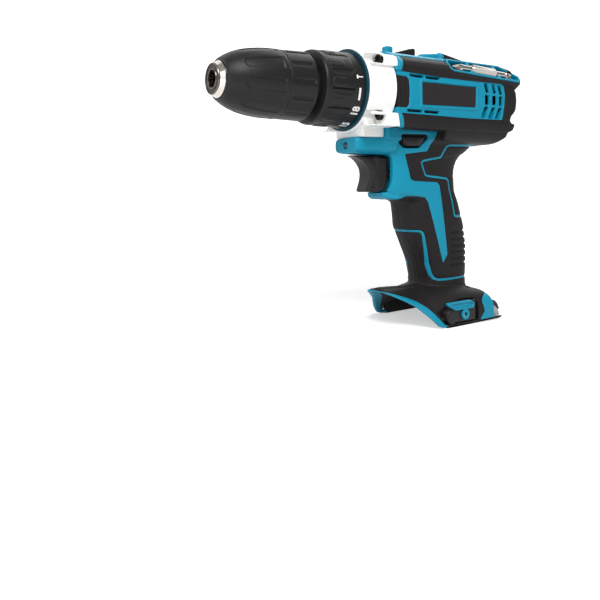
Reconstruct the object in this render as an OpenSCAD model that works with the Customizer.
// Cordless hammer drill, bare tool without its battery pack.
// Origin: centre of the chuck's nose face, on the spindle axis.
// +X points out of the chuck, +Y to the tool's left side, +Z up. Millimetres.

/* [Chuck] */
// Largest shank that the chuck takes
bit_capacity = 10; // [8:0.5:11]
// Diameter of the chuck's nose face
nose_d = 16.6; // [15.4:0.2:18]
// Diameter of the steel nose where the front sleeve starts
nose_root_d = 21.8; // [21:0.2:22.6]
// Length of the steel nose in front of the sleeve
nose_len = 3.1; // [2:0.1:4]
// Diameter of the front sleeve's lip
sleeve_lip_d = 26.2; // [25.4:0.2:28]
// Diameter of the front sleeve's rear end
sleeve_d = 42.4; // [41.6:0.2:44]
// Length of the front sleeve
front_sleeve_len = 38; // [36:0.5:40]
// Diameter of the rear sleeve's rear end
rear_sleeve_d = 43.6; // [43:0.2:45]
// Length of the rear sleeve
rear_sleeve_len = 19.6; // [18:0.2:22]
// Diameter of one jaw
jaw_d = 6.8; // [6:0.1:7]
// Length of one jaw
jaw_len = 30; // [27:0.5:31]
// Opening between the jaws as shown
jaw_opening = 4; // [3:0.2:5]

/* [Torque collar] */
// Gap between chuck and torque collar
chuck_gap = 4.2; // [2:0.2:6]
// Diameter of the torque collar's front edge
collar_front_d = 46.8; // [46:0.2:48]
// Diameter of the torque collar's rear edge
collar_rear_d = 50.2; // [50:0.2:52]
// Length of the torque collar
collar_len = 28.5; // [27:0.5:32]
// Depth of the grooves between the collar's grip blocks
collar_groove = 0.9; // [0.4:0.1:1.2]
// Diameter of the thin ring with the setting mark
index_d = 54; // [52:0.5:55]
// Thickness of the ring with the setting mark
index_t = 1.6; // [1:0.1:2]

/* [Gearbox] */
// Diameter of the gear housing's front barrel
gear_housing_d = 56.2; // [55.6:0.2:57]
// Gear module of both planetary stages
gear_module = 0.9; // [0.84:0.02:0.92]
// Face width of the output stage's planets
output_face = 12; // [10:0.5:12]
// Face width of the input stage's planets
input_face = 10; // [8:0.5:10]
// Thickness of a planet carrier's plate
carrier_t = 4; // [3:0.5:4]
// Radius of a planet's pin
planet_pin_r = 1.5; // [1.2:0.1:1.8]
// Radius of the output shaft in its bearings
spindle_r = 6; // [5:0.5:6.5]
// Travel of the speed selector
selector_travel = 4; // [3:0.5:4]

/* [Motor] */
// Diameter of the motor's can
motor_d = 38; // [36:0.5:39]
// Length of the motor's can
motor_len = 60; // [57:0.5:61]
// Radius of the motor's shaft
shaft_r = 1.6; // [1.5:0.1:2]

/* [Body] */
// Width of the motor barrel
barrel_w = 57; // [56:0.5:60]
// Height of the motor barrel above its middle
barrel_h = 65; // [64:0.5:68]
// Height of the spindle axis above the barrel's middle
axis_up = 1.5; // [1:0.5:2]
// Overall length of the tool
tool_len = 240; // [238:0.5:246]
// Length of the cap at the rear end
rear_cover_len = 9; // [7:0.5:11]
// Wall of the plastic housing
wall = 2.6; // [2.2:0.1:3]
// Thickness of the soft overmoulded grip
skin = 1.2; // [0.8:0.1:1.6]

/* [Handle] */
// Width of the handle
grip_w = 34.4; // [32:0.4:38]
// Drop from the barrel's underside to the foot's roof
grip_len = 100.5; // [98:0.5:104]
// Travel of the trigger
trigger_travel = 6; // [4:0.5:7]
// Width of the trigger
trigger_w = 19; // [16:0.5:20]
// Travel of the direction lever to each side
lever_travel = 3.5; // [2:0.5:4]

/* [Foot] */
// Width of the foot
foot_w = 70; // [68:0.5:76]
// Height of the foot, from its roof to the bottom
foot_h = 24.5; // [24:0.5:27]
// Radius of the threaded hole for the belt clip's screw
clip_hole_r = 1.65; // [1.4:0.05:2]

/* [Bit tray] */
// Length of the double-ended driver bit
bit_len = 60; // [55:1:62]
// Width of the driver bit's hexagon across its flats
bit_af = 6.35; // [6:0.05:6.4]

/* [Clearances] */
// Play of a turning shaft in its bore, on the radius
running = 0.05; // [0.03:0.01:0.08]
// Gap between separate moving pieces
gap = 0.3; // [0.25:0.05:0.4]

/* [Hidden] */
$fn = 64;
eps = 0.01;

// ---- places along the spindle axis, each from the one in front of it ----
jaw_angle = 14.5;
sleeve_x0 = -nose_len - 0.8;
sleeve_x1 = sleeve_x0 - front_sleeve_len;
rear_sleeve_x0 = sleeve_x1 - gap;
chuck_x1 = rear_sleeve_x0 - rear_sleeve_len;
collar_x0 = chuck_x1 - chuck_gap;
collar_x1 = collar_x0 - collar_len;
index_x0 = collar_x1 - gap;
gear_x0 = index_x0 - index_t;
front_wall = 4.6;
ball_r = 2.5;
carrier_out_x0 = index_x0 - front_wall - 0.6;
planet_out_x0 = carrier_out_x0 - carrier_t - 0.4;
planet_out_x1 = planet_out_x0 - output_face;
carrier_in_x0 = planet_out_x1 - 1;
planet_in_x0 = carrier_in_x0 - carrier_t - 0.4;
planet_in_x1 = planet_in_x0 - input_face;
shift_x0 = carrier_in_x0 - 1.4;
shift_x1 = planet_in_x1 - 1.2;
plate_x0 = shift_x1 - selector_travel - 0.6;
plate_t = 3;
plate_x1 = plate_x0 - plate_t;
motor_x0 = plate_x1 - 0.1;
motor_x1 = motor_x0 - motor_len;
bell_t = 6;
bell_x1 = motor_x1 - bell_t;
fan_x0 = bell_x1 - 4;
fan_t = 7;
body_x0 = gear_x0 - 21.8;
cover_x0 = rear_cover_len - tool_len;

// ---- gears: sun, planet and ring of one stage ----
sun_teeth = 12;
planet_teeth = 15;
ring_teeth = sun_teeth + 2 * planet_teeth;
addendum = 0.55;
dedendum = 0.95;
planet_orbit = (sun_teeth + planet_teeth) * gear_module / 2;
ring_pitch_r = ring_teeth * gear_module / 2;
gearbox_r = 24.3;
carrier_r = ring_pitch_r - addendum - 1.6;

// ---- chuck ----
socket_r = bit_capacity / 2 + 0.2;
// Length of the round mouth, up to where the jaws' holes begin
mouth_len = 6.9;
jaw_r = jaw_d / 2;
jaw_tip_x = -12;
jaw_tip_r = jaw_opening / 2 + 0.8;
thread_r = 4.75;
nut_x0 = sleeve_x0 - 22;
nut_x1 = nut_x0 - 7.5;
nut_r = 16.4;
flange_r = 18.4;
tail_r = 15;
tail_end_r = 12;
tail_len = 4.5;
jaw_out = jaw_r / cos(jaw_angle);

// Bore of the chuck nut, which follows the slope of the jaws' backs
function nut_bore(x) = jaw_tip_r + (jaw_tip_x - x) * tan(jaw_angle) + jaw_out + gap;
groove_r = nut_bore(nut_x0) - gap;

// ---- clutch ----
nose_tube_r = 15.5;
bearing_r = 12;
collar_bore = 21.4;
nut_ring_x0 = collar_x0 - 9;
nut_ring_t = 4;
washer_x0 = index_x0 + 1.7;
ball_orbit = 18.6;

// ---- body ----
barrel_mid = -axis_up;
barrel_bottom = barrel_mid - barrel_h / 2;
barrel_top = barrel_mid + barrel_h / 2;
roof_z = barrel_bottom - grip_len;
foot_z = roof_z - foot_h;
// Side outline of handle and neck: share of the drop, front, back, half width
grip_rows = [
    [-0.09, -2, -92, 0.99], [0.005, -1.5, -91.8, 1.03], [0.04, -1, -87.2, 1.01], [0.08, -0.8, -80.4, 0.99],
    [0.12, -0.8, -76.6, 0.98], [0.17, -1, -74.4, 0.97], [0.26, -1.8, -73.3, 0.97], [0.34, -4, -73.8, 0.98],
    [0.405, -24.9, -75.8, 0.99], [0.49, -26.3, -78.8, 1.0], [0.585, -27.2, -82.1, 1.01], [0.625, -28.7,
        -82.7, 1.01],
    [0.735, -34.2, -84.4, 1.01], [0.85, -40.1, -83.9, 1.0], [0.96, -42.7, -83.1, 1.0], [1.0, -42.4,
        -83.6, 1.04],
    [1.05, -40, -85, 1.14]];
// Neck over the trigger: distance from the body's front edge, drop of its middle, half height, half width
bridge_rows = [[20, 2.2, 4.6, 10.6], [18.6, 2.5, 5.6, 11.7], [8, 1.6, 7.8, 14], [-6, 0.5, 9.4, 17]];
section_n = 36;

// ---- trigger ----
trigger_top = barrel_bottom - 10.2;
trigger_bottom = trigger_top - 23.6;
trigger_back = body_x0 - 8;

function superpow(v, p) = sign(v) * pow(abs(v), 2 / p);
// One level ring round the handle, between a front and a back, drawn in by d
function level_ring(z, front, back, half, p, d) =
    [for (i = [0:section_n - 1]) let (t = 360 * (i + 0.5) / section_n)
        [(front + back) / 2 + ((front - back) / 2 - d) * superpow(cos(t), p),
         (half - d) * superpow(sin(t), p), z]];
// One upright ring across the tool at x, with its own roundness above and below the middle
function cross_ring(x, mid, half_h, half_w, p, d, p_top = 0) =
    [for (i = [0:section_n - 1]) let (t = 360 * (i + 0.5) / section_n, q = t < 180 && p_top > 0 ? p_top : p)
        [x, (half_w - d) * superpow(cos(t), q), mid + (half_h - d) * superpow(sin(t), q)]];

// Six times the volume that a list of faces encloses, positive where they run anticlockwise from outside
function total(v) = v * [for (q = v) 1];
function enclosed(points, faces) = total([for (f = faces, i = [1:len(f) - 2])
    cross(points[f[0]], points[f[i]]) * points[f[i + 1]]]);
// Closed skin through a list of rings with as many points each
module loft(rings) {
    n = len(rings[0]);
    last = len(rings) - 1;
    side = [for (k = [0:last - 1], i = [0:n - 1]) let (j = (i + 1) % n, a = k * n)
        each [[a + i, a + n + i, a + n + j], [a + i, a + n + j, a + j]]];
    caps = [[for (i = [0:n - 1]) i], [for (i = [n - 1:-1:0]) last * n + i]];
    faces = concat(side, caps);
    points = [for (r = rings) each r];
    outward = enclosed(points, faces) < 0;
    polyhedron(points, outward ? faces : [for (f = faces) [for (i = [len(f) - 1:-1:0]) f[i]]]);
}

// Solid of revolution about the spindle axis from [radius, x] points
module turned(points, fn = 96) { rotate([0, 90, 0]) rotate_extrude($fn = fn) polygon(points); }
// Rod and tube along the spindle axis
module rod(x0, x1, r) { translate([min(x0, x1), 0, 0]) rotate([0, 90, 0]) cylinder(h = abs(x1 - x0),
    r = r); }
module tube(x0, x1, r_out, r_in) {
    difference() {
        rod(x0, x1, r_out);
        rod(min(x0, x1) - 1, max(x0, x1) + 1, r_in);
    }
}
// Rod across the tool
module cross_rod(x, z, y0, y1, r) {
    translate([x, max(y0, y1), z]) rotate([90, 0, 0]) cylinder(h = abs(y1 - y0), r = r);
}
// Box from corner to corner
module block(a, b) { translate(a) cube(b - a); }
// Side outline in X and Z, as wide as the tool
module side_prism(points, half = 60) {
    translate([0, half, 0]) rotate([90, 0, 0]) linear_extrude(2 * half) polygon(points);
}
// Outline in Y and Z, pulled along X
module cross_prism(points, x0, x1) {
    translate([x0, 0, 0]) rotate([90, 0, 90]) linear_extrude(x1 - x0) polygon(points);
}

// ---- outer forms of the body, each drawn in by d ----
barrel_p = 4.6;
barrel_p_top = 3;
function barrel_ring(x, d) = cross_ring(x, barrel_mid, barrel_h / 2, barrel_w / 2, barrel_p, d,
    barrel_p_top);
function barrel_outline(d) = [for (q = barrel_ring(0, d)) [q[1], q[2]]];
module barrel_form(d, x0 = cover_x0, x1 = body_x0) { cross_prism(barrel_outline(d), x0, x1); }
module grip_form(d) {
    loft([for (r = grip_rows) level_ring(barrel_bottom - r[0] * grip_len, body_x0 + r[1], body_x0 + r[2],
        grip_w / 2 * r[3], 3, d)]);
}
module bridge_form(d) {
    loft([for (r = bridge_rows) cross_ring(body_x0 + r[0] - (r[0] > 18 ? d : 0), barrel_bottom - r[1],
        r[2], r[3], 4, d)]);
}
// Lip that closes the trigger's pocket from below
module guard_form() {
    z0 = trigger_bottom - gap;
    intersection() {
        side_prism([[body_x0 - 0.5, z0], [body_x0 - 2, z0 - 3.2], [body_x0 - 9, z0 - 5.2], [body_x0 - 28,
            z0 - 5.2],
            [body_x0 - 28, z0]], grip_w);
        translate([0, 0, z0 - 8]) linear_extrude(8.2)
            polygon([[body_x0, -5], [body_x0 - 6, -9.5], [body_x0 - 14, -14], [body_x0 - 28, -14],
                [body_x0 - 28, 14], [body_x0 - 14, 14], [body_x0 - 6, 9.5], [body_x0, 5]]);
    }
}
// Roof and cheeks of the foot, as an arch across the tool that squares up towards the rear
foot_front = body_x0 - 9;
foot_back = body_x0 - 82.8;
// Rows of the arch: distance behind the foot's front, drop of its crown, roundness
foot_rows = [[-3, 3.9, 1.5], [6, 2.4, 1.5], [16, 1, 1.5], [24, 0.3, 1.6], [36, 0, 2.2], [48, 0, 3],
    [foot_front - foot_back - 6, 0, 3.2], [foot_front - foot_back - 3, 0, 3.2], [foot_front - foot_back,
        0.8, 3.2]];
arch_n = 24;
function foot_ring(x, crown, p, d) = [for (i = [0:arch_n]) let (t = 180 * i / arch_n)
    [x, (foot_w / 2 - d) * superpow(cos(t), p), foot_z - 0.5 + (crown - d - foot_z + 0.5)
        * superpow(sin(t), p)]];
// Front edge of the foot, seen from the side, from its crown to its lower corners
function foot_edge(back) = [[foot_front - back, roof_z + 1], [foot_front - back, foot_z + 20.8],
    [foot_front - 2 - back, foot_z + 19.7], [foot_front - 8 - back, foot_z + 16.4],
    [foot_front - 12.5 - back, foot_z + 13.4], [foot_front - 15.7 - back, foot_z + 10.8],
    [foot_front - 19.2 - back, foot_z + 6.9], [foot_front - 24.5 - back, foot_z]];
module foot_form(d) {
    intersection() {
        loft([for (r = foot_rows) foot_ring(foot_front - r[0], roof_z - r[1], r[2], d)]);
        side_prism(concat(foot_edge(d), [[foot_back + d, foot_z], [foot_back + d, roof_z + 1]]));
    }
}
module body_form(d) {
    barrel_form(d);
    grip_form(d);
    bridge_form(d);
    foot_form(d);
}
// Keeps one side of the tool: 1 is left, -1 is right
module one_side(side) {
    intersection() {
        children();
        translate([-tool_len - 20, side > 0 ? 0 : -80, foot_z - 20]) cube([tool_len + 40, 80, 260]);
    }
}

clip_x = foot_front - 47.3;
clip_z = foot_z + 5;
clip_out = foot_w / 2 - 0.6;
clip_l = 30;
// Inner face of the thick pads that carry the clip bases and guide the battery
rail_y = clip_out - 5.6;

// Side regions where the hard teal shell shows; the soft grip covers the rest
panel_top = barrel_mid + 12.1;
panel_bottom = barrel_mid - 14.7;
module shell_regions() {
    block([body_x0 - 106.5, -60, panel_bottom], [body_x0 + 30, 60, panel_top]);
    side_prism([for (q = [[30, panel_bottom - 8.2 - barrel_bottom], [-47,
        panel_bottom - 8.2 - barrel_bottom],
        [-35.5, -6.7], [-18.5, -8.3], [-23, -24.8], [-50.5, -29.1], [-53.7, -37.8], [-58.6, -78.5],
        [-53.5, -84.9], [-46, -64], [-37, -38.8], [-24, -37.4], [-22, -40], [30, -40]])
        [body_x0 + q[0], barrel_bottom + q[1]]]);
    // Rim along the foot's front edge, and its rear corner
    side_prism(concat([for (q = foot_edge(-5)) q], [for (i = [7:-1:0]) foot_edge(2.6)[i] - [0, i == 7 ?
        1 : 0]]));
    block([foot_back - 1, -60, foot_z - 1], [foot_back + 4.5, 60, roof_z - 4]);
}

// Boss and post positions
gear_screw_y = 22;
gear_screw_z = 18;
boss_len = 8;
boss_x1 = body_x0 - boss_len;
module boss_zone(grow) {
    for (s = [-1, 1])
        for (band = [[13.6, 24.4], [-24.4, -14]])
            block([boss_x1 - grow, s > 0 ? 18 - grow : -40, band[0] - grow],
                [gear_x0 - 3, s > 0 ? 40 : grow - 18, band[1] + grow]);
}
// Screws across the body: x, z, length of the post on each side
body_screws = [[body_x0 - 47, barrel_top - 7.7, 19], [cover_x0 + 6, barrel_bottom + 12, 26],
    [body_x0 - 62, barrel_bottom - 14, 12.5], [body_x0 - 34, barrel_bottom - 52, 12.4],
    [body_x0 - 60, barrel_bottom - 80, 15.2], [body_x0 - 75, roof_z - 4.7, 27],
    [body_x0 + 6, barrel_bottom - 3.2, 11.5]];
post_r = 3.6;
pilot_r = 1.4;

// ---- body shells ----
module vents(side) {
    for (col = [0:2], row = [0:2])
        translate([body_x0 - 84.6 - col * 7.2 - row * 0.6, side * barrel_w / 2, barrel_mid +
            5.9 - row * 8.2])
            cube([3.6, 12, 6.4], center = true);
}
lever_x = body_x0 - 23.8;
lever_z = barrel_bottom + 0.7;
lever_l = 21.6;
lever_h = 7.6;
selector_x = body_x0 - 33;
selector_l = 13;
// Top of the strap that joins the knob to the gearbox's fork
strap_z = barrel_top - 3.8;
tray_y = barrel_w / 2 - 5.3;
tray_z = barrel_top - 10;
tray_tilt = 38;
tray_x0 = body_x0 - 50.5;
tray_l = 71;
tray_w = 13;
tray_depth = 6.4;
// Moves to the tray: x along it, z out of its mouth
module at_tray() { translate([tray_x0 - tray_l / 2, tray_y, tray_z]) rotate([tray_tilt - 90, 0, 0])
    children(); }
module tray_outline(grow) {
    h = tray_w / 2 + grow;
    l = tray_l / 2 + grow;
    polygon([[l - 4, h], [l, h - 3], [l, 3 - h], [l - 4, -h], [7 - l, -h], [-l, 1.5 - h], [-l, 2],
        [9 - l, h]]);
}
plate_l = 51;
plate_h = 15.4;
plate_mid_x = body_x0 - 49.5;
plate_mid_z = barrel_mid - 0.2;
module nameplate_zone(grow) {
    for (s = [-1, 1])
        translate([plate_mid_x, s * (barrel_w / 2 - 0.4), plate_mid_z])
            cube([plate_l + 2 * grow, 2 + 2 * grow, plate_h + 2 * grow], center = true);
}

module cavity() {
    // motor chamber, and the bore for the gear housing's spigot
    barrel_form(wall, cover_x0 - 1, body_x0 + 1);
    intersection() {
        grip_form(wall);
        block([-tool_len, -60, roof_z - 3], [0, 60, barrel_bottom + 8]);
    }
    // battery bay under the foot's arch, and the way from it up into the handle
    difference() {
        loft([for (r = foot_rows) if (foot_front - r[0] > foot_back + 5)
            foot_ring(foot_front - r[0] + (r[0] < 0 ? 1 : 0), roof_z - r[1], r[2], wall + skin)]);
        for (s = [-1, 1]) translate([clip_x, s * foot_w / 2, foot_z])
            cube([clip_l + 6, foot_w - 2 * rail_y, 26], center = true);
    }
    block([foot_back + 13, -13, roof_z - 9.5], [foot_front - 36, 13, roof_z + 1]);
}
module posts(side) {
    for (s = body_screws) cross_rod(s[0], s[1], 0, side * s[2], post_r);
    for (z = [gear_screw_z, -gear_screw_z])
        translate([boss_x1 - 14, side * gear_screw_y, z]) rotate([0, 90, 0]) cylinder(h = 13.7, r = 3.2);
    translate([boss_x1 - 14, side * 24.2 - 2.2, -gear_screw_z - 2]) cube([13.7, 4.4, 4]);
}
module post_holes(side) {
    for (s = body_screws) {
        cross_rod(s[0], s[1], -side, side * (s[2] - 3), pilot_r + (side < 0 ? 0.4 : running));
        if (side < 0) cross_rod(s[0], s[1], -s[2] + 3.2, -60, 3.2);
    }
    for (z = [gear_screw_z, -gear_screw_z])
        translate([boss_x1 - 13, side * gear_screw_y, z]) rotate([0, 90, 0]) cylinder(h = 20, r = 1.6 +
            running);
}
// Ribs that hold the motor's can
module motor_ribs() {
    for (x = [motor_x0 - 12, motor_x1 + 10])
        intersection() {
            difference() {
                barrel_form(wall - 0.5, x - 1.2, x + 1.2);
                rod(x - 2, x + 2, motor_d / 2 + 0.15);
            }
            block([x - 2, -60, -9], [x + 2, 60, 9]);
        }
}
module trigger_pocket() {
    side_prism([[body_x0 + 30, trigger_top + gap], [trigger_back - trigger_travel - 0.6, trigger_top + gap],
        [trigger_back - trigger_travel - 0.6, trigger_bottom - gap], [body_x0 + 30, trigger_bottom - gap]],
        trigger_w / 2 + gap);
}
// Sighting nub and ridge along the top
module top_trim() {
    block([body_x0 - 17.5, -2.6, barrel_top - 3], [body_x0 - 11.5, 2.6, barrel_top + 5]);
    block([body_x0 - 66, -8, barrel_top - 3], [body_x0 - 45, 8, barrel_top + 2.6]);
}
// Everything that is cut from both the shell and its soft skin
module openings() {
    rod(plate_x1 - gap, body_x0 - 1, gearbox_r + 1.5);
    rod(body_x0 - 0.2, index_x0 + 3, gear_housing_d / 2 + 0.2);
    boss_zone(0.15);
    gear_skirt_zone(0.15);
    trigger_pocket();
    block([lever_x - lever_l / 2 - gap, -40, lever_z - lever_h / 2 - gap],
        [lever_x + lever_l / 2 + gap, 40, lever_z + lever_h / 2 + gap]);
    block([selector_x - selector_l / 2 - selector_travel - 1, -5.6, strap_z - 2.7],
        [selector_x + selector_l / 2 + 1, 5.6, barrel_top + 10]);
    at_tray() translate([0, 0, -tray_depth - 0.2]) linear_extrude(20) tray_outline(0.15);
    clip_zone(0.1);
    bumper_zone(0.1);
}
module housing(side) {
    difference() {
        one_side(side) union() {
            difference() {
                union() {
                    body_form(skin);
                    intersection() {
                        body_form(0);
                        shell_regions();
                    }
                    guard_form();
                    top_trim();
                }
                cavity();
            }
            motor_ribs();
            posts(side);
        }
        post_holes(side);
        openings();
        vents(side);
        nameplate_zone(0.05);
        lamp_bore(0.1);
        led_pocket();
    }
}
module left_housing() { color("#0e97b8") housing(1); }
module right_housing() { color("#0e97b8") housing(-1); }

module grip(side) {
    difference() {
        one_side(side) difference() {
            union() {
                body_form(0);
                block([body_x0 - 79, -9, barrel_top - 3], [body_x0 - 67, 9, barrel_top + 3.2]);
            }
            body_form(skin);
            shell_regions();
            top_trim();
            guard_form();
            cavity();
            posts(side);
        }
        openings();
        if (side < 0) for (s = body_screws) {
            cross_rod(s[0], s[1], 3.2 - s[2], -60, 3.2);
            cross_rod(s[0], s[1], 0, -s[2], pilot_r + 0.4);
        }
    }
}
module left_grip() { color("#2b2929") grip(1); }
module right_grip() { color("#2b2929") grip(-1); }

// Cap that closes the barrel's rear end and spans both halves
module rear_cover() {
    color("#2b2929") difference() {
        union() {
            loft([barrel_ring(cover_x0 - rear_cover_len, 5), barrel_ring(cover_x0 - rear_cover_len + 2, 2),
                barrel_ring(cover_x0 - rear_cover_len + 5, 0.3), barrel_ring(cover_x0 - 0.1, 0)]);
        }
        barrel_form(wall + 1.4, cover_x0 - rear_cover_len + 3, cover_x0 + 1);
        at_tray() translate([0, 0, -tray_depth - 0.2]) linear_extrude(20) tray_outline(0.15);
    }
}
module screw(length, head_r, shank_r, head_t) {
    difference() {
        union() {
            cylinder(h = head_t, r = head_r);
            translate([0, 0, -length]) cylinder(h = length + eps, r = shank_r);
        }
        for (a = [0, 90]) rotate([0, 0, a]) translate([0, 0, head_t]) cube([head_r * 1.1, 0.8, 1.6],
            center = true);
    }
}
module housing_screws() {
    color("silver") for (s = body_screws)
        translate([s[0], 3.2 - s[2] - 0.1, s[1]]) rotate([90, 0, 0]) screw(s[2] * 2 - 9, 2.8, pilot_r, 2);
}

// ---- gear housing and clutch ----
module gear_skirt_zone(grow) {
    block([body_x0 + 5 - grow, -13 - grow, barrel_bottom + 3.2 - grow], [gear_x0 - 4, 13 + grow, -15]);
}
module gear_housing() {
    color("#f4f4f2") difference() {
        union() {
            rod(collar_x0 + 1.5, gear_x0, nose_tube_r);
            turned([[0, index_x0], [22, index_x0], [22, gear_x0], [gear_housing_d / 2 - 1.6, gear_x0],
                [gear_housing_d / 2, gear_x0 - 1.6], [gear_housing_d / 2, body_x0 + 0.2], [0, body_x0 +
                    0.2]]);
            rod(gear_x0 - 2, plate_x1, gearbox_r + 1.2);
            intersection() {
                barrel_form(0, boss_x1 - 1, gear_x0);
                union() {
                    boss_zone(0);
                    gear_skirt_zone(0);
                }
            }
        }
        // bearing seat, spindle passage, gear chamber
        rod(collar_x0 + 3, collar_x0 - 6, bearing_r + running);
        rod(collar_x0, index_x0 - front_wall - 1, spindle_r + 2);
        rod(index_x0 - front_wall, plate_x0 + 0.1, gearbox_r);
        rod(plate_x0 + 1, plate_x1 - 1, gearbox_r);
        for (a = [0:60:300]) rotate([a, 0, 0]) translate([0, 0, ball_orbit])
            rod(index_x0 + 1, index_x0 - front_wall - 1, ball_r + running);
        for (s = [-1, 1], z = [gear_screw_z, -gear_screw_z]) translate([0, s * gear_screw_y, z]) {
            rod(gear_x0 + 1, gear_x0 - 13, 3.5);
            rod(gear_x0, boss_x1 - 2, 1.6 + gap);
        }
        // slot for the gear change link
        block([shift_x1 - selector_travel - 0.6, -4, 20], [shift_x0 + 1, 4, gear_housing_d / 2 + 4]);
        block([plate_x1 - 1, -4, 20], [body_x0 - 2, 4, 40]);
        rod(collar_x0 + 2, collar_x0 - 3, bearing_r + running);
    }
}
module gear_housing_screws() {
    color("silver") for (s = [-1, 1], z = [gear_screw_z, -gear_screw_z])
        translate([gear_x0 - 12.9, s * gear_screw_y, z]) rotate([0, 90, 0])
            screw(boss_len + 20, 3, 1.6, 2.4);
}
module index_ring() {
    color("#0e97b8") difference() {
        tube(index_x0, gear_x0 + 0.05, index_d / 2, 22 + running);
        translate([index_x0 - 0.4, -1, index_d / 2 - 1]) cube([1, 2, 3]);
    }
}
module torque_collar() {
    color("#2b2b2c") difference() {
        turned([[collar_bore, collar_x0 - 3], [collar_bore, collar_x1], [collar_rear_d / 2 - 0.3,
            collar_x1],
            [collar_rear_d / 2, collar_x1 + 0.6], [collar_rear_d / 2 - 0.6, collar_x1 + 7],
            [collar_front_d / 2 + 0.4, collar_x0 - 1], [collar_front_d / 2 - 0.3, collar_x0],
            [nose_tube_r + gap, collar_x0], [nose_tube_r + gap, collar_x0 - 3]]);
        // grooves between the grip blocks
        for (i = [0:9]) rotate([36 * i + 18, 0, 0]) translate([collar_x0 - 22, -2, collar_front_d / 2 +
            0.9 - collar_groove])
            cube([17, 4, 6]);
        // keyways that drive the clutch nut
        for (i = [0:3]) rotate([90 * i, 0, 0]) translate([collar_x1 - 1, -2.2, collar_bore - 2])
            cube([collar_len - 3, 4.4, 3]);
    }
}
module clutch_nut() {
    color("#c9c9c4") difference() {
        union() {
            rod(nut_ring_x0, nut_ring_x0 - nut_ring_t, 20.6);
            for (i = [0:3]) rotate([90 * i, 0, 0]) translate([nut_ring_x0 - nut_ring_t, -1.9, 15.7])
                cube([nut_ring_t, 3.8, collar_bore + 0.6 - 15.7]);
        }
        rod(nut_ring_x0 + 1, nut_ring_x0 - nut_ring_t - 1, nose_tube_r + gap);
    }
}
// Coil spring about the spindle axis, as one closed wire
module coil(x0, x1, r, wire_r, turns, steps = 20, sides = 8) {
    n = turns * steps;
    rings = [for (k = [0:n]) let (a = 360 * k / steps, x = x0 + (x1 - x0) * k / n)
        [for (i = [0:sides - 1]) let (t = 360 * i / sides, q = r + wire_r * cos(t))
            [x + wire_r * sin(t), q * cos(a), q * sin(a)]]];
    loft(rings);
}
module clutch_spring() {
    color("silver") coil(nut_ring_x0 - nut_ring_t - 1.05, washer_x0 + 1.05, 18.1, 0.9, 3);
}
module clutch_washer() {
    color("silver") tube(washer_x0, index_x0 + 0.2, 20.9, nose_tube_r + gap);
}
module clutch_balls() {
    color("silver") for (a = [0:60:300]) rotate([a, 0, 0])
        translate([index_x0 - front_wall / 2, 0, ball_orbit]) sphere(r = ball_r - 0.05, $fn = 32);
}

// ---- chuck ----
module at_jaw(i) {
    rotate([120 * i + 60, 0, 0]) translate([jaw_tip_x, 0, jaw_tip_r]) rotate([0, jaw_angle - 90, 0])
        children();
}
module jaw(i) {
    color("#8f9296") intersection() {
        at_jaw(i) translate([0, 0, -6]) cylinder(h = jaw_len + 6, r = jaw_r, $fn = 48);
        rotate([120 * i + 60, 0, 0])
            cross_prism([[0, jaw_opening / 2], [26, jaw_opening / 2 + 26 / tan(60)], [26, 40], [-26, 40],
                [-26, jaw_opening / 2 + 26 / tan(60)]], jaw_tip_x - 60, jaw_tip_x);
    }
}
module jaw_1() { jaw(0); }
module jaw_2() { jaw(1); }
module jaw_3() { jaw(2); }
module chuck_body() {
    color("#b9bcc0") difference() {
        turned([[0, 0], [nose_d / 2, 0], [nose_root_d / 2, -nose_len], [nose_root_d / 2, nut_x0 + gap],
            [groove_r, nut_x0 + gap], [groove_r, nut_x1 - gap],
            [flange_r, nut_x1 - gap], [flange_r, sleeve_x1 + 0.4], [tail_r, sleeve_x1 + 0.4],
            [tail_r, chuck_x1 + tail_len + 1.2], [tail_end_r, chuck_x1 + tail_len + 1.2],
            [tail_end_r, chuck_x1 + 0.6], [0, chuck_x1 + 0.6]]);
        rod(1, -mouth_len, socket_r);
        rod(eps - mouth_len, sleeve_x1 + 2, socket_r + 0.6);
        rod(sleeve_x1 + 3, chuck_x1 - 1, thread_r + running);
        for (i = [0:2]) at_jaw(i) translate([0, 0, -10]) cylinder(h = jaw_len + 24, r = jaw_r + running,
            $fn = 48);
    }
}
module chuck_nut() {
    color("#77797c") turned([[nut_r, nut_x0], [nut_r, nut_x1], [nut_bore(nut_x1), nut_x1],
        [nut_bore(nut_x0), nut_x0]]);
}
module front_sleeve() {
    color("#2a2a2b") difference() {
        turned([[nose_root_d / 2 + gap, sleeve_x0], [sleeve_lip_d / 2 - 0.6, sleeve_x0],
            [sleeve_lip_d / 2, sleeve_x0 - 0.8],
            [sleeve_lip_d / 2 + 2.4, sleeve_x0 - 4.2], [sleeve_d / 2 - 2.5, sleeve_x0 - 13.4],
            [sleeve_d / 2 - 0.6, sleeve_x0 - 22.4], [sleeve_d / 2, sleeve_x0 - 31], [sleeve_d / 2,
                sleeve_x1],
            [flange_r + gap, sleeve_x1], [flange_r + gap, nut_x1], [nut_r, nut_x1], [nut_r, nut_x0],
            [nose_root_d / 2 + gap, nut_x0]]);
        for (i = [0:11]) rotate([30 * i, 0, 0]) translate([sleeve_x1 + 4, -0.5, sleeve_d / 2 - 0.7])
            cube([20, 1, 3]);
    }
}
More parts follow.
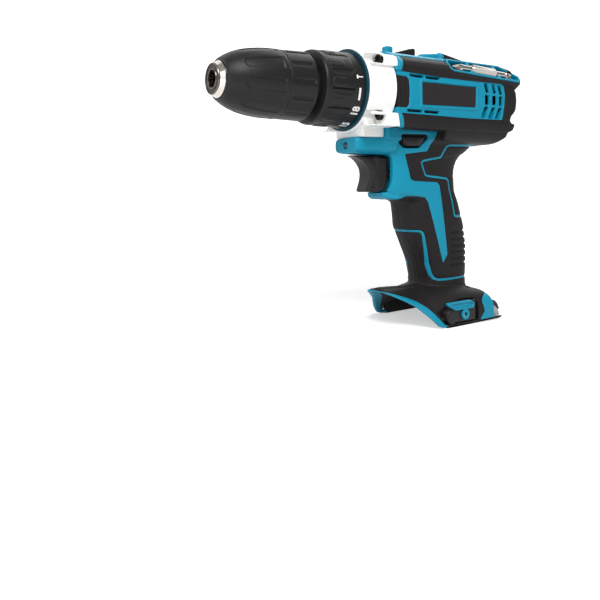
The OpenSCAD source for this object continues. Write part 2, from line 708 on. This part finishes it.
module rear_sleeve() {
    color("#2a2a2b") difference() {
        turned([[flange_r - 0.2, rear_sleeve_x0], [sleeve_d / 2, rear_sleeve_x0], [rear_sleeve_d / 2,
            chuck_x1 + 1.4],
            [rear_sleeve_d / 2 - 1.2, chuck_x1], [tail_end_r, chuck_x1], [tail_end_r, chuck_x1 + tail_len],
            [flange_r - 0.2, chuck_x1 + tail_len]]);
        for (i = [0:11]) rotate([30 * i, 0, 0]) translate([chuck_x1 + 4, -0.5, rear_sleeve_d / 2 - 1])
            cube([11, 1, 3]);
    }
}
module chuck_screw() {
    color("silver") translate([sleeve_x1 + 2.1, 0, 0]) rotate([0, 90, 0]) screw(14, 4.2, 2.4, 2.6);
}

// ---- gears ----
function gear_points(teeth, outward) = let (r = teeth * gear_module / 2, tip = outward ? r + addendum :
    r - addendum,
    root = outward ? r - dedendum : r + dedendum, half_tip = outward ? 0.3 : 0.28, half_root = outward ?
        0.68 : 0.66)
    [for (i = [0:teeth - 1]) let (a = 360 * i / teeth, w = 57.3 / r * gear_module)
        each [for (q = [[-half_root * w, root], [-half_tip * w, tip], [half_tip * w, tip],
            [half_root * w, root]])
            [q[1] * cos(a + q[0]), q[1] * sin(a + q[0])]]];
module gear(teeth, x0, x1, turn = 0) {
    translate([x1, 0, 0]) rotate([turn, 0, 0]) rotate([90, 0, 90]) linear_extrude(x0 - x1)
        rotate([0, 0, 90]) polygon(gear_points(teeth, true));
}
module ring_gear(x0, x1, r_out) {
    // a gap between teeth faces each planet
    difference() {
        rod(x0, x1, r_out);
        translate([x1 - 1, 0, 0]) rotate([180 / ring_teeth, 0, 0]) rotate([90, 0, 90])
            linear_extrude(x0 - x1 + 2)
            rotate([0, 0, 90]) polygon(gear_points(ring_teeth, false));
    }
}
module planet(i, x0, x1) {
    color("#9a9c9f") rotate([120 * i, 0, 0]) translate([0, 0, planet_orbit]) difference() {
        gear(planet_teeth, x0, x1);
        rod(x0 + 1, x1 - 1, planet_pin_r + running);
    }
}
module output_planet_1() { planet(0, planet_out_x0, planet_out_x1); }
module output_planet_2() { planet(1, planet_out_x0, planet_out_x1); }
module output_planet_3() { planet(2, planet_out_x0, planet_out_x1); }
module input_planet_1() { planet(0, planet_in_x0, planet_in_x1); }
module input_planet_2() { planet(1, planet_in_x0, planet_in_x1); }
module input_planet_3() { planet(2, planet_in_x0, planet_in_x1); }
module output_ring_gear() {
    color("#7c7e80") ring_gear(index_x0 - front_wall - 0.4, planet_out_x1 - 0.3, gearbox_r - 0.05);
}
module planet_pins(x0, x1) {
    for (i = [0:2]) rotate([120 * i, 0, 0]) translate([0, 0, planet_orbit]) rod(x0, x1, planet_pin_r);
}
module output_spindle() {
    color("#a7a9ac") difference() {
        union() {
            rod(sleeve_x1 + 1.9, chuck_x1 + 0.4, thread_r);
            rod(chuck_x1 + 0.4, collar_x0 + 0.4, spindle_r + 1.6);
            rod(collar_x0 + 1, carrier_out_x0, spindle_r);
            rod(carrier_out_x0, carrier_out_x0 - carrier_t, carrier_r);
            planet_pins(carrier_out_x0 - carrier_t + 1, planet_out_x1 - 0.3);
        }
        rod(sleeve_x1 + 3, sleeve_x1 - 13, 2.4 + running);
    }
}
module spindle_bearing() {
    color("silver") {
        tube(collar_x0 - 0.1, collar_x0 - 5.9, bearing_r, bearing_r - 1.8);
        tube(collar_x0 - 0.1, collar_x0 - 5.9, spindle_r + 1.9, spindle_r + running);
        for (i = [0:8]) rotate([40 * i, 0, 0]) translate([collar_x0 - 3, 0, (bearing_r + spindle_r) / 2 +
            0.05])
            sphere(r = 1.1, $fn = 24);
    }
}
module input_carrier() {
    color("#a7a9ac") union() {
        gear(sun_teeth, planet_out_x0 - 0.4, carrier_in_x0 - 1);
        rod(carrier_in_x0, carrier_in_x0 - carrier_t, carrier_r);
        planet_pins(carrier_in_x0 - carrier_t + 1, planet_in_x1 - 0.3);
    }
}
module shift_ring_gear() {
    color("#7c7e80") difference() {
        ring_gear(shift_x0, shift_x1, gearbox_r - gap);
        tube(shift_x0 - 5, shift_x0 - 7.4, gearbox_r + 2, gearbox_r - 1.8);
    }
}
fork_x = shift_x0 - 6.2;
module shift_link() {
    color("silver") {
        // fork that rides in the ring gear's groove, and a strap back to the knob
        intersection() {
            tube(fork_x - 0.8, fork_x + 0.8, gearbox_r - 0.6, gearbox_r - 1.5);
            block([fork_x - 2, -16, 0], [fork_x + 2, 16, 40]);
        }
        block([fork_x - 0.8, -2.5, gearbox_r - 1.2], [fork_x + 0.8, 2.5, strap_z]);
        block([selector_x - 3, -2.5, strap_z - 1], [fork_x + 0.8, 2.5, strap_z]);
    }
}
module speed_selector() {
    color("#2b2b2c") {
        side_prism([[selector_x + selector_l / 2, strap_z + 0.1], [selector_x + selector_l / 2,
            barrel_top + 0.4],
            [selector_x + selector_l / 2 - 3, barrel_top + 2.4], [selector_x - selector_l / 2 + 3,
                barrel_top + 4],
            [selector_x - selector_l / 2, barrel_top + 3.4], [selector_x - selector_l / 2, strap_z +
                0.1]], 4.8);
    }
}

// ---- motor ----
can_r = motor_d / 2;
can_wall = 1.6;
magnet_t = 5;
rotor_r = can_r - can_wall - magnet_t - 0.6;
module motor_plate() {
    color("#c9c9c4") difference() {
        rod(plate_x0, plate_x1 + 0.05, gearbox_r - 0.1);
        rod(plate_x0 + 1, plate_x1 - 1, 7.2);
        for (s = [-1, 1]) translate([0, 0, s * 12.5]) rod(plate_x0 + 1, plate_x1 - 1, 1.6);
    }
}
module motor_can() {
    color("#8d8f92") difference() {
        union() {
            rod(motor_x0, motor_x1, can_r);
            rod(motor_x0 - 1, plate_x0 - 0.6, 7);
        }
        rod(motor_x0 - can_wall, motor_x1 - 1, can_r - can_wall);
        rod(plate_x0 + 2, motor_x0 - 3, shaft_r + running);
        for (a = [0:90:270]) rotate([a + 45, 0, 0]) translate([0, 0, 11.5]) rod(motor_x0 + 1,
            motor_x0 - 3, 2.2);
    }
}
module motor_magnets() {
    color("#4a4a4c") for (s = [-1, 1]) intersection() {
        tube(motor_x0 - 9, motor_x1 + 12, can_r - can_wall - 0.02, can_r - can_wall - magnet_t);
        translate([motor_x1, s > 0 ? 3 : -43, -20]) cube([motor_len, 40, 40]);
    }
}
module end_bell() {
    color("#3a3a3c") difference() {
        union() {
            rod(motor_x1 - 0.02, bell_x1, can_r);
            rod(bell_x1, bell_x1 - 2.4, 6);
        }
        rod(motor_x1 + 1, bell_x1 + 2, can_r - can_wall - 2);
        rod(motor_x1, bell_x1 - 4, shaft_r + running);
    }
}
commutator_x0 = motor_x1 + 9;
commutator_r = 5.2;
brush_in = commutator_r + gap;
brush_out = can_r - can_wall - 0.6;
module brushes() {
    color("#3c3532") for (s = [-1, 1])
        block([commutator_x0 - 6.2, s > 0 ? brush_in : -brush_out, -2.5], [commutator_x0 - 1.8, s > 0 ?
            brush_out : -brush_in, 2.5]);
}
module rotor_shaft() { color("silver") rod(planet_in_x0 - 0.3, fan_x0 - fan_t - 0.5, shaft_r); }
module armature() {
    color("#b06a3c") difference() {
        union() {
            rod(motor_x0 - 13, motor_x1 + 15, rotor_r);
            rod(motor_x0 - 8, motor_x1 + 11, rotor_r - 2);
        }
        rod(motor_x0, motor_x1, shaft_r + 0.01);
        for (a = [0:72:288]) rotate([a, 0, 0]) translate([motor_x1, -0.8, rotor_r - 1.5])
            cube([motor_len, 1.6, 4]);
    }
}
module commutator() { color("#c98a4a") tube(commutator_x0, commutator_x0 - 8, commutator_r, shaft_r +
    0.01); }
module motor_pinion() {
    color("#9a9c9f") difference() {
        gear(sun_teeth, planet_in_x0 - 0.4, planet_in_x1 - 0.4);
        rod(planet_in_x0, planet_in_x1 - 1, shaft_r + 0.01);
    }
}
module fan() {
    color("#55585a") difference() {
        union() {
            rod(fan_x0, fan_x0 - fan_t, 5);
            rod(fan_x0 - fan_t + 1.4, fan_x0 - fan_t, 20);
            for (i = [0:8]) rotate([40 * i, 0, 0]) translate([fan_x0 - fan_t, -0.6, 3]) cube([fan_t, 1.2,
                17]);
        }
        rod(fan_x0 + 1, fan_x0 - fan_t - 1, shaft_r + 0.01);
    }
}

// ---- controls ----
module trigger() {
    r = trigger_w / 2;
    color("#232324") {
        intersection() {
            side_prism([[body_x0 + 16, trigger_top], [body_x0 + 10.8, trigger_top - 1.9], [body_x0 + 6.6,
                trigger_top - 5.7],
                [body_x0 + 4.6, trigger_top - 11.8], [body_x0 + 4.8, trigger_top - 17.3], [body_x0 + 6.4,
                    trigger_top - 22.3],
                [body_x0 + 5.6, trigger_bottom], [body_x0 - 4, trigger_bottom], [trigger_back,
                    trigger_bottom + 4],
                [trigger_back, trigger_top]], r);
            translate([trigger_back, 0, trigger_bottom]) linear_extrude(trigger_top - trigger_bottom)
                polygon([[0, -r], [body_x0 - 0.5 - trigger_back, -r], [body_x0 + 7 - trigger_back, 3 - r],
                    [body_x0 + 17 - trigger_back, 5.5 - r], [body_x0 + 17 - trigger_back, r - 5.5],
                    [body_x0 + 7 - trigger_back, r - 3], [body_x0 - 0.5 - trigger_back, r], [0, r]]);
        }
        translate([0, 0, (trigger_top + trigger_bottom) / 2]) rod(trigger_back + 1, trigger_back - 14, 2.4);
    }
}
module trigger_spring() {
    color("silver") translate([0, 0, (trigger_top + trigger_bottom) / 2])
        coil(trigger_back - 0.5, switch_x0 + 0.5, 3.6, 0.4, 4, 12, 6);
}
switch_x0 = trigger_back - trigger_travel - 2.6;
switch_l = 33;
switch_w = 22;
module trigger_switch() {
    mid = (trigger_top + trigger_bottom) / 2;
    color("#3b3b3e") difference() {
        block([switch_x0 - switch_l, -switch_w / 2, mid - 12.5], [switch_x0, switch_w / 2, mid + 13.5]);
        translate([0, 0, mid]) rod(switch_x0 + 1, switch_x0 - 20, 2.4 + gap);
    }
}
module direction_lever() {
    h = lever_h / 2;
    l = lever_l / 2;
    half = grip_w / 2 + lever_travel - 2.7;
    color("#2b2b2c") translate([lever_x, 0, lever_z]) side_prism([[l, h], [l, -h + 3], [l - 3, -h], [-l +
        5, -h],
        [-l, h - 2.5], [-l, h]], half);
}
lamp_x = body_x0 + 19.6;
lamp_z = barrel_bottom - 2.4;
lamp_r = 2.4;
board_w = 10;
board_h = 5.2;
module led_pocket() {
    block([lamp_x - 6.6, -board_w / 2 - 0.2, lamp_z - board_h / 2 - 0.2], [lamp_x - 4.8, board_w / 2 +
        0.2, lamp_z + board_h / 2 + 0.2]);
}
module lamp_bore(grow) { translate([0, 0, lamp_z]) rod(lamp_x + 3, lamp_x - 5, lamp_r + grow); }
module led_lens() {
    color("#e8eef2") translate([0, 0, lamp_z]) {
        rod(lamp_x - 0.4, lamp_x - 4, lamp_r);
        translate([lamp_x - 0.4, 0, 0]) sphere(r = lamp_r - 0.2, $fn = 32);
    }
}
module led_board() { color("#2e6b45") block([lamp_x - 6.4, -board_w / 2, lamp_z - board_h / 2],
    [lamp_x - 5, board_w / 2, lamp_z + board_h / 2]); }

// ---- trim, tray and foot fittings ----
module nameplates() {
    color("#2d2a29") for (s = [-1, 1])
        translate([plate_mid_x, s * (barrel_w / 2 - 0.5), plate_mid_z]) cube([plate_l, 1.4, plate_h],
            center = true);
}
module bit_tray() {
    color("#0e97b8") at_tray() difference() {
        translate([0, 0, -tray_depth]) linear_extrude(tray_depth) tray_outline(0);
        translate([-bit_len / 2 - 1, -bit_af / 2 - 0.9, 1.6 - tray_depth]) cube([bit_len + 2, bit_af +
            1.8, tray_depth]);
    }
}
module driver_bit() {
    hex_r = bit_af / 2 / cos(30);
    color("#c8cacd") at_tray() translate([0, 0, 1.9 - tray_depth + bit_af / 2]) rotate([0, 90, 0]) {
        translate([0, 0, -11]) rotate([0, 0, 30]) cylinder(h = 22, r = hex_r, $fn = 6);
        for (m = [0, 1]) mirror([0, 0, m]) {
            translate([0, 0, 10.9]) cylinder(h = bit_len / 2 - 14.9, r = 2.3, $fn = 24);
            translate([0, 0, bit_len / 2 - 4]) rotate_extrude($fn = 24) polygon([[0, -0.1], [2.6, -0.1],
                [2.6, 1], [0.8, 4], [0, 4]]);
        }
    }
}
module terminal_block() {
    color("#26282a") difference() {
        block([foot_front - 59, -12.7, roof_z - 13], [foot_front - 36.3, 12.7, roof_z - 2]);
        for (y = [-8, 0, 8]) block([foot_front - 57, y - 0.5, roof_z - 14], [foot_front - 41, y + 0.5,
            roof_z - 3]);
    }
}
module terminals() {
    color("#c9a24a") for (y = [-8, 0, 8])
        block([foot_front - 56.9, y - 0.45, roof_z - 12.6], [foot_front - 41.1, y + 0.45, roof_z - 3.1]);
}
// Rubber bumper on the foot's rear end
bumper_w = foot_w - 6;
module bumper_zone(grow) {
    block([foot_back - 12, -bumper_w / 2 - grow, foot_z - 1], [foot_back + 5 + grow, bumper_w / 2 + grow,
        foot_z + 11.5 + grow]);
}
module foot_bumper() {
    color("#6d6a68") side_prism([[foot_back - 9.4, foot_z], [foot_back - 9.4, foot_z + 1.4],
        [foot_back - 7.4, foot_z + 6.2],
        [foot_back - 1, foot_z + 11.5], [foot_back + 5, foot_z + 11.5], [foot_back + 5, foot_z]],
            bumper_w / 2);
}
module clip_zone(grow) {
    for (s = [-1, 1]) translate([clip_x, s * (clip_out - 1.2), clip_z + 3])
        cube([30 + 2 * grow, 5.6 + 2 * grow, 13 + 2 * grow], center = true);
}
module clip_bases() {
    color("#242424") for (s = [-1, 1]) difference() {
        translate([clip_x, s * (clip_out - 1.2), clip_z + 3]) cube([30, 5.6, 13], center = true);
        translate([clip_x, s * clip_out, clip_z + 6.6]) cube([22, 6, 2.8], center = true);
        cross_rod(clip_x, clip_z, -60, 60, clip_hole_r + 1.35);
    }
}
module clip_inserts() {
    color("#b08d4a") for (s = [-1, 1]) difference() {
        cross_rod(clip_x, clip_z, s * (clip_out - 4), s * (clip_out + 1.6), clip_hole_r + 1.3);
        cross_rod(clip_x, clip_z, -60, 60, clip_hole_r);
    }
}
// One insulated lead along a list of points
module lead(route, r) {
    last = len(route) - 1;
    rings = [for (k = [0:last]) let (a = route[max(k - 1, 0)], b = route[min(k + 1, last)], t = (b - a)
        / norm(b - a),
        side = cross(t, [0, 1, 0]) / norm(cross(t, [0, 1, 0])), up = cross(side, t))
        [for (i = [0:7]) route[k] + r * (cos(45 * i) * side + sin(45 * i) * up)]];
    loft(rings);
}
module wires() {
    mid = (trigger_top + trigger_bottom) / 2;
    for (s = [-1, 1]) {
        color(s > 0 ? "firebrick" : "#222222") {
            // switch to motor
            lead([[switch_x0 - switch_l + 1, s * 6, mid + 13.6], [switch_x0 - switch_l + 1, s * 6, mid +
                18],
                [switch_x0 - switch_l - 2, s * 6, -28], [switch_x0 - switch_l - 8, s * 6, -25.6],
                [motor_x1 - 2, s * 6, -25], [bell_x1 - 0.5, s * 6, -22], [bell_x1 - 2, s * 6, -17],
                [bell_x1 - 0.9, s * 6, -12]], 0.9);
            // terminals to switch
            lead([[foot_front - 43, s * 8, roof_z - 1.9], [foot_front - 43, s * 8, roof_z + 8],
                [foot_front - 41, s * 7, roof_z + 40], [switch_x0 - switch_l + 5, s * 6, mid - 20],
                [switch_x0 - switch_l + 5, s * 6, mid - 12.6]], 0.9);
        }
    }
}

left_housing();
right_housing();
left_grip();
right_grip();
rear_cover();
housing_screws();
gear_housing();
gear_housing_screws();
index_ring();
torque_collar();
clutch_nut();
clutch_spring();
clutch_washer();
clutch_balls();
chuck_body();
jaw_1();
jaw_2();
jaw_3();
chuck_nut();
front_sleeve();
rear_sleeve();
chuck_screw();
output_spindle();
spindle_bearing();
output_ring_gear();
output_planet_1();
output_planet_2();
output_planet_3();
input_carrier();
shift_ring_gear();
input_planet_1();
input_planet_2();
input_planet_3();
shift_link();
speed_selector();
motor_plate();
motor_can();
motor_magnets();
end_bell();
brushes();
rotor_shaft();
armature();
commutator();
motor_pinion();
fan();
trigger();
trigger_spring();
trigger_switch();
direction_lever();
led_lens();
led_board();
nameplates();
bit_tray();
driver_bit();
terminal_block();
terminals();
foot_bumper();
clip_bases();
clip_inserts();
wires();
